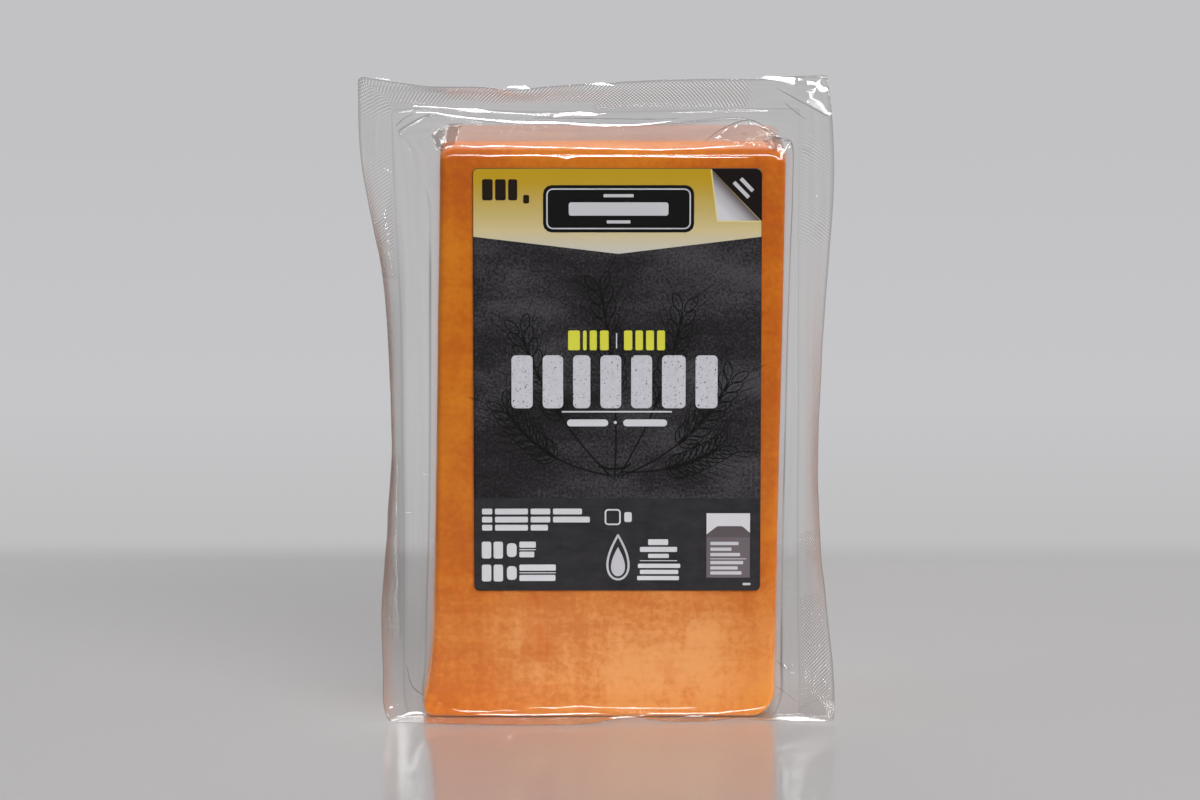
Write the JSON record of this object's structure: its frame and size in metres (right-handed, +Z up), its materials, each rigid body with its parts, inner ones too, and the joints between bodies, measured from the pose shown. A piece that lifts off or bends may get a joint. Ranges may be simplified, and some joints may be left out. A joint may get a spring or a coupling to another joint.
{
  "type": "bar of mild cheddar in a clear vacuum pack",
  "caption": "Upright rectangular bar of orange cheddar sealed in clear vacuum film with a wide knurled flange and a plain printed label on its front.",
  "frame": {"origin": "on the surface that the pack stands on, under the middle of the bar of cheese", "axes": "+Z up along the bar's long side, +X to the right seen from the label, +Y away from the label"},
  "size_m": [0.1214, 0.0496, 0.1656],
  "materials": {
    "cheddar": "orange cheese under tight clear film, glossy",
    "label": "printed film label, dark slate with a gold band, satin"
  },
  "bodies": {
    "root": {"sealed_cheddar": "cheddar", "label": "label"}
  },
  "joints": []
}
